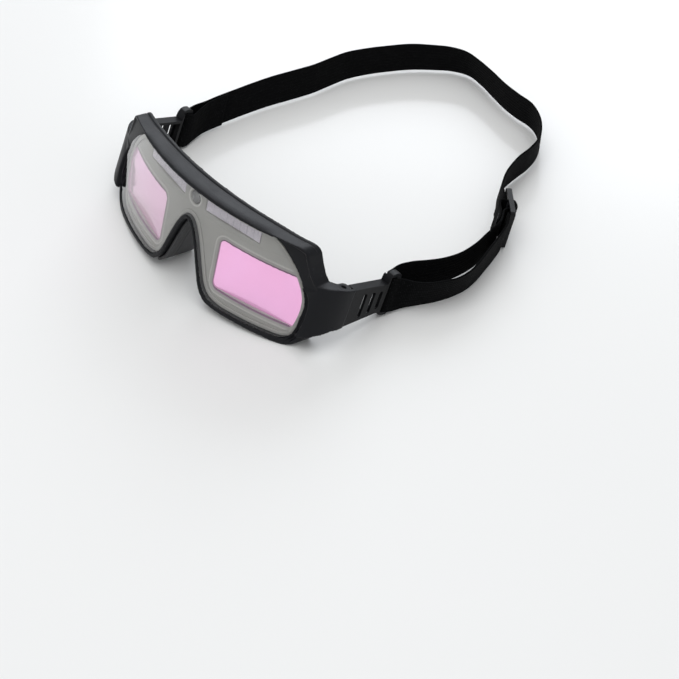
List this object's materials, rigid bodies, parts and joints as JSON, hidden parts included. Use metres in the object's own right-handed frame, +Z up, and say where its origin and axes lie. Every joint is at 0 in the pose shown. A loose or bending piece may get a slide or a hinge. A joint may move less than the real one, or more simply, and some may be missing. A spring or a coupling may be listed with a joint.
{
  "type": "welding goggles",
  "caption": "Auto-darkening welding goggles: wraparound grey cover lens over filter windows and solar strips, black frame with hinged strap clips and an elastic head strap.",
  "frame": {"origin": "on the table, in the plane of symmetry of the goggle front, straight below the middle of the brow", "axes": "+Z up, square to the table; the lenses face -Y; +X is the wearer's left. The goggles rest leaning back 26 degrees on the two rims and on the strap clips"},
  "size_m": [0.1946, 0.2222, 0.0613],
  "materials": {
    "frame_black": "satin black moulded nylon",
    "lens_grey": "clear grey polycarbonate",
    "tray_grey": "satin grey moulded bezel",
    "filter_pink": "dichroic coating, pink to green",
    "lcd_glass": "dark green liquid crystal shutter",
    "solar": "solar cell behind clear resin",
    "sensor_clear": "smoked round window",
    "board_green": "printed circuit board",
    "diode_black": "photodiode package",
    "cell_steel": "button cell can",
    "shell_black": "fine textured black",
    "window_clear": "clear polycarbonate",
    "pad_grey": "soft dark grey saddle",
    "screw_steel": "zinc plated",
    "pin_steel": "plain steel pin",
    "clip_black": "satin black moulded nylon",
    "webbing_black": "ribbed elastic webbing",
    "thread_black": "bar-tack thread",
    "slider_black": "moulded acetal"
  },
  "bodies": {
    "goggle_front": {"front_frame": "frame_black", "cover_lens": "lens_grey", "filter_tray": "tray_grey", "left_interference_filter": "filter_pink", "right_interference_filter": "filter_pink", "left_lcd_shutter": "lcd_glass", "right_lcd_shutter": "lcd_glass", "left_solar_cell": "solar", "right_solar_cell": "solar", "sensor_window": "sensor_clear", "photo_sensors": "diode_black", "control_board": "board_green", "button_cell": "cell_steel", "rear_shell": "shell_black", "left_inner_window": "window_clear", "right_inner_window": "window_clear", "nose_pad": "pad_grey", "shell_screws": "screw_steel", "left_hinge_pin": "pin_steel", "right_hinge_pin": "pin_steel", "strap_webbing": "webbing_black", "clip_stitching": "thread_black", "slider_stitching": "thread_black"},
    "left_clip": {"left_clip": "clip_black"},
    "right_clip": {"right_clip": "clip_black"},
    "slider": {"slider": "slider_black"}
  },
  "joints": [
    {"name": "left_clip_swing", "type": "hinge", "parent": "goggle_front", "child": "left_clip", "pos_m": [0.082, 0.00477, 0.02309], "axis": [0, 0.4384, 0.8988], "range_deg": [-4, 75], "deforming": ["strap_webbing", "clip_stitching", "slider_stitching"]},
    {"name": "right_clip_swing", "type": "hinge", "parent": "goggle_front", "child": "right_clip", "pos_m": [-0.082, 0.00477, 0.02309], "axis": [0, -0.4384, -0.8988], "range_deg": [-4, 75]},
    {"name": "slider_travel", "type": "slide", "parent": "goggle_front", "child": "slider", "axis": [-0.797, 0.604, 0], "range_m": [-0.008, 0.008]}
  ]
}
